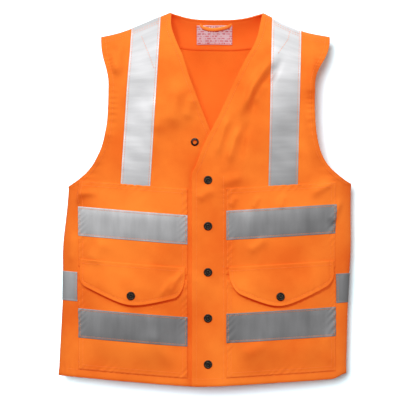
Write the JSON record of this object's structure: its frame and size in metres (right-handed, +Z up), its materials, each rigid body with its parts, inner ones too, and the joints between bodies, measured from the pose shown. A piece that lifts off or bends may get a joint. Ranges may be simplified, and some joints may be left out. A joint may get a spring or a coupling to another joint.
{
  "type": "blaze orange work vest",
  "caption": "Sleeveless V-neck safety vest with snap front, flapped cargo pockets and reflective tape bands, shown as worn.",
  "frame": {"origin": "middle of the body at the height of the neck points, where the wearer's shoulders hold the vest up", "axes": "+X to the wearer's left, -Y to the wearer's front, +Z up"},
  "size_m": [0.513, 0.1324, 0.6539],
  "materials": {
    "orange_cloth": "matt woven blaze orange twill",
    "reflective_tape": "silver glass-bead reflective tape",
    "snap_metal": "dark antique plated pressed metal",
    "label_cloth": "white woven label with a faded red print"
  },
  "bodies": {
    "back": {"back_panel": "orange_cloth", "back_neck_facing": "orange_cloth", "label": "label_cloth", "back_band": "reflective_tape", "right_back_shoulder_tape": "reflective_tape", "left_back_shoulder_tape": "reflective_tape"},
    "right_front": {"right_front_panel": "orange_cloth", "right_front_facing": "orange_cloth", "right_upper_pocket": "orange_cloth", "right_lower_pocket": "orange_cloth", "right_upper_band": "reflective_tape", "right_lower_band": "reflective_tape", "right_side_band": "reflective_tape", "right_front_shoulder_tape": "reflective_tape", "right_flap_snap_stud": "snap_metal", "right_flap_snap_prong_ring": "snap_metal", "front_snap_1_stud": "snap_metal", "front_snap_1_prong_ring": "snap_metal", "front_snap_2_stud": "snap_metal", "front_snap_2_prong_ring": "snap_metal", "front_snap_3_stud": "snap_metal", "front_snap_3_prong_ring": "snap_metal", "front_snap_4_stud": "snap_metal", "front_snap_4_prong_ring": "snap_metal", "front_snap_5_stud": "snap_metal", "front_snap_5_prong_ring": "snap_metal", "top_stud": "snap_metal", "top_prong_ring": "snap_metal"},
    "left_front": {"left_front_panel": "orange_cloth", "left_front_facing": "orange_cloth", "left_upper_pocket": "orange_cloth", "left_lower_pocket": "orange_cloth", "left_upper_band": "reflective_tape", "left_lower_band": "reflective_tape", "left_side_band": "reflective_tape", "left_front_shoulder_tape": "reflective_tape", "left_flap_snap_stud": "snap_metal", "left_flap_snap_prong_ring": "snap_metal", "front_snap_1_cap": "snap_metal", "front_snap_1_socket": "snap_metal", "front_snap_2_cap": "snap_metal", "front_snap_2_socket": "snap_metal", "front_snap_3_cap": "snap_metal", "front_snap_3_socket": "snap_metal", "front_snap_4_cap": "snap_metal", "front_snap_4_socket": "snap_metal", "front_snap_5_cap": "snap_metal", "front_snap_5_socket": "snap_metal"},
    "right_pocket_flap": {"right_flap": "orange_cloth", "right_flap_snap_cap": "snap_metal", "right_flap_snap_socket": "snap_metal"},
    "left_pocket_flap": {"left_flap": "orange_cloth", "left_flap_snap_cap": "snap_metal", "left_flap_snap_socket": "snap_metal"},
    "neck_loop": {"hang_loop": "orange_cloth"}
  },
  "joints": [
    {"name": "left_front_swing", "type": "hinge", "parent": "back", "child": "left_front", "pos_m": [0.2545, 0, -0.291], "axis": [0.0256, 0, 0.9997], "range_deg": [0, 45]},
    {"name": "right_front_swing", "type": "hinge", "parent": "back", "child": "right_front", "pos_m": [-0.2468, 0, -0.288], "axis": [-0.0515, 0, -0.9987], "range_deg": [0, 23]},
    {"name": "right_flap_hinge", "type": "hinge", "parent": "right_front", "child": "right_pocket_flap", "pos_m": [-0.0401, -0.0752, -0.4486], "axis": [-0.9876, 0.1365, 0.0781], "range_deg": [0, 120]},
    {"name": "left_flap_hinge", "type": "hinge", "parent": "left_front", "child": "left_pocket_flap", "pos_m": [0.0361, -0.0793, -0.4479], "axis": [-0.984, -0.1687, -0.0568], "range_deg": [0, 120]},
    {"name": "neck_loop_hinge", "type": "hinge", "parent": "back", "child": "neck_loop", "pos_m": [0.014, 0.0252, -0.0215], "axis": [-1, 0, 0], "range_deg": [0, 150]}
  ],
  "couplings": [
    {"joint": "right_front_swing", "follows": "left_front_swing", "ratio": 0.5}
  ]
}
